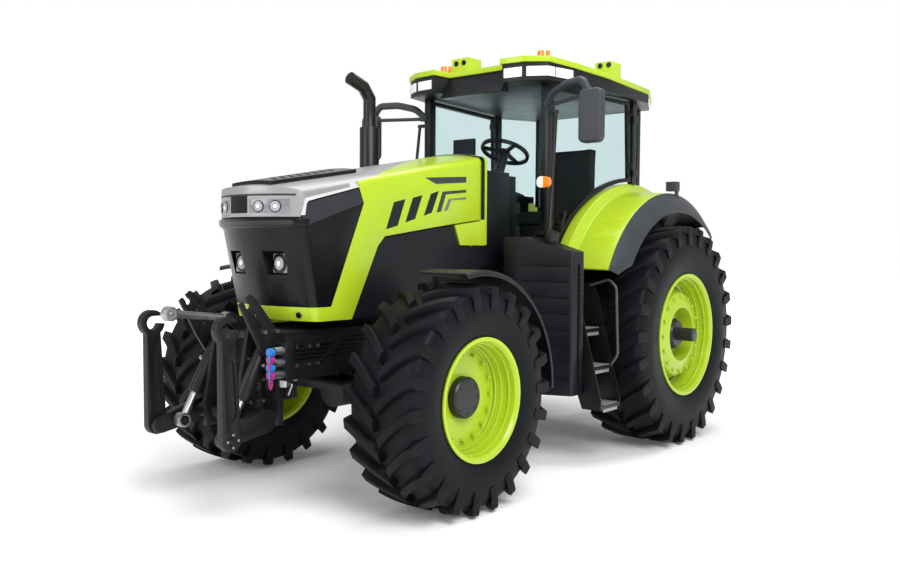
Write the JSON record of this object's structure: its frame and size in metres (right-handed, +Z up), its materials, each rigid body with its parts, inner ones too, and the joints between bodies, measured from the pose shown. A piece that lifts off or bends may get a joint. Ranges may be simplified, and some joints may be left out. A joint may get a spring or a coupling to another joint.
{
  "type": "farm tractor",
  "caption": "Four-wheel-drive farm tractor with lugged tyres, steered front axle, hinged bonnet, rear-hinged cab doors, folding front linkage and rear three-point lift.",
  "frame": {"origin": "on the ground under the middle of the overall box", "axes": "+X forward, +Y to the tractor's left, +Z up"},
  "size_m": [5.68, 2.646, 3.2],
  "materials": {
    "green_paint": "gloss",
    "grey_paint": "satin",
    "black_frame": "satin",
    "grey_casting": "painted",
    "black_plastic": "matte",
    "tyre_rubber": "matte",
    "tinted_glass": "clear",
    "clear_lens": "gloss",
    "amber_lens": "gloss",
    "seat_cloth": "matte",
    "bright_steel": "brushed"
  },
  "bodies": {
    "chassis": {"amber_lamps": "amber_lens", "cab_fittings": "black_plastic", "cab_glass": "tinted_glass", "cab_pillars": "black_frame", "cab_roof": "green_paint", "cab_steps": "black_frame", "cab_tub": "black_frame", "cowl": "green_paint", "engine_block": "grey_casting", "exhaust": "black_frame", "fender_flares": "black_plastic", "front_axle": "grey_casting", "front_linkage_frame": "grey_casting", "front_support": "grey_casting", "mirrors": "black_plastic", "rear_axle": "grey_casting", "rear_fenders": "green_paint", "roof_fascia": "black_plastic", "roof_lamps": "clear_lens", "seat": "seat_cloth", "side_boxes": "black_plastic", "side_shields": "black_plastic", "steering_wheel": "black_plastic", "top_links": "bright_steel", "transmission": "grey_casting"},
    "knuckle_left": {"knuckle_left": "grey_casting", "mudguard_left": "black_plastic"},
    "knuckle_right": {"knuckle_right": "grey_casting", "mudguard_right": "black_plastic"},
    "wheel_front_left": {"tyre_front_left": "tyre_rubber", "rim_front_left": "green_paint", "hub_front_left": "grey_casting"},
    "wheel_front_right": {"tyre_front_right": "tyre_rubber", "rim_front_right": "green_paint", "hub_front_right": "grey_casting"},
    "wheel_rear_left": {"tyre_rear_left": "tyre_rubber", "rim_rear_left": "green_paint", "hub_rear_left": "grey_casting"},
    "wheel_rear_right": {"tyre_rear_right": "tyre_rubber", "rim_rear_right": "green_paint", "hub_rear_right": "grey_casting"},
    "steering_rod": {"steering_rod": "bright_steel"},
    "bonnet": {"bonnet": "green_paint", "bonnet_nose": "grey_paint", "front_grille": "black_plastic", "front_lamps": "clear_lens", "bonnet_scoop": "black_plastic"},
    "door_left": {"door_left_frame": "black_frame", "door_left_glass": "tinted_glass"},
    "door_right": {"door_right_frame": "black_frame", "door_right_glass": "tinted_glass"},
    "front_rocker": {"front_rocker": "grey_casting"},
    "front_link_left": {"front_link_left": "grey_casting"},
    "front_link_right": {"front_link_right": "grey_casting"},
    "front_lift_barrels": {"front_lift_barrels": "grey_casting"},
    "front_lift_rods": {"front_lift_rods": "bright_steel"},
    "rear_lower_links": {"rear_lower_links": "grey_casting"},
    "rear_lift_arms": {"rear_lift_arms": "grey_casting"},
    "rear_lift_rods": {"rear_lift_rods": "grey_casting"}
  },
  "joints": [
    {"name": "steer_left", "type": "hinge", "parent": "chassis", "child": "knuckle_left", "pos_m": [1.42, 0.697, 0.71], "axis": [0, 0, 1], "range_deg": [-35, 35]},
    {"name": "steer_right", "type": "hinge", "parent": "chassis", "child": "knuckle_right", "pos_m": [1.42, -0.697, 0.71], "axis": [0, 0, 1], "range_deg": [-35, 35]},
    {"name": "steering_rod_slide", "type": "slide", "parent": "chassis", "child": "steering_rod", "axis": [0, 1, 0], "range_m": [-0.1009, 0.1009]},
    {"name": "wheel_front_left_spin", "type": "hinge", "parent": "knuckle_left", "child": "wheel_front_left", "pos_m": [1.42, 0.967, 0.71], "axis": [0, 1, 0], "continuous": true},
    {"name": "wheel_rear_left_spin", "type": "hinge", "parent": "chassis", "child": "wheel_rear_left", "pos_m": [-1.34, 0.993, 0.92], "axis": [0, 1, 0], "continuous": true},
    {"name": "wheel_front_right_spin", "type": "hinge", "parent": "knuckle_right", "child": "wheel_front_right", "pos_m": [1.42, -0.967, 0.71], "axis": [0, 1, 0], "continuous": true},
    {"name": "wheel_rear_right_spin", "type": "hinge", "parent": "chassis", "child": "wheel_rear_right", "pos_m": [-1.34, -0.993, 0.92], "axis": [0, 1, 0], "continuous": true},
    {"name": "bonnet_open", "type": "hinge", "parent": "chassis", "child": "bonnet", "pos_m": [0.4037, 0, 2.33704], "axis": [0, -1, 0], "range_deg": [0, 50]},
    {"name": "door_left_open", "type": "hinge", "parent": "chassis", "child": "door_left", "pos_m": [-1.281, 0.762, 2.5], "axis": [0, 0, 1], "range_deg": [0, 75]},
    {"name": "door_right_open", "type": "hinge", "parent": "chassis", "child": "door_right", "pos_m": [-1.281, -0.762, 2.5], "axis": [0, 0, -1], "range_deg": [0, 75]},
    {"name": "front_lift", "type": "hinge", "parent": "chassis", "child": "front_rocker", "pos_m": [2.38, 0, 0.61], "axis": [0, -1, 0], "range_deg": [-18, 14]},
    {"name": "front_link_left_fold", "type": "hinge", "parent": "front_rocker", "child": "front_link_left", "pos_m": [2.66, 0.371, 0.545], "axis": [0, 1, 0], "range_deg": [0, 95]},
    {"name": "front_link_right_fold", "type": "hinge", "parent": "front_rocker", "child": "front_link_right", "pos_m": [2.66, -0.371, 0.545], "axis": [0, 1, 0], "range_deg": [0, 95]},
    {"name": "front_lift_barrels_tilt", "type": "hinge", "parent": "chassis", "child": "front_lift_barrels", "pos_m": [2.305, 0, 1.04], "axis": [0, -1, 0], "range_deg": [-4.34, 3.42]},
    {"name": "front_lift_rods_extend", "type": "slide", "parent": "front_lift_barrels", "child": "front_lift_rods", "axis": [0.4785, 0, -0.8781], "range_m": [-0.0334, 0.0428]},
    {"name": "rear_lift", "type": "hinge", "parent": "chassis", "child": "rear_lower_links", "pos_m": [-1.54, 0, 0.56], "axis": [0, 1, 0], "range_deg": [-12, 14]},
    {"name": "rear_lift_arms_turn", "type": "hinge", "parent": "chassis", "child": "rear_lift_arms", "pos_m": [-1.55, 0, 1.16], "axis": [0, 1, 0], "range_deg": [-18.21, 21.21]},
    {"name": "rear_lift_rods_turn", "type": "hinge", "parent": "rear_lower_links", "child": "rear_lift_rods", "pos_m": [-2.16, 0, 0.64], "axis": [0, 1, 0], "range_deg": [-13.45, 11.56]}
  ],
  "couplings": [
    {"joint": "steer_right", "follows": "steer_left", "ratio": 1},
    {"joint": "steering_rod_slide", "follows": "steer_left", "m_per_rad": 0.16432},
    {"joint": "front_lift_barrels_tilt", "follows": "front_lift", "ratio": 0.22976},
    {"joint": "front_lift_rods_extend", "follows": "front_lift", "m_per_rad": -0.13459},
    {"joint": "rear_lift_arms_turn", "follows": "rear_lift", "ratio": 1.5008},
    {"joint": "rear_lift_rods_turn", "follows": "rear_lift", "ratio": -0.9466}
  ]
}
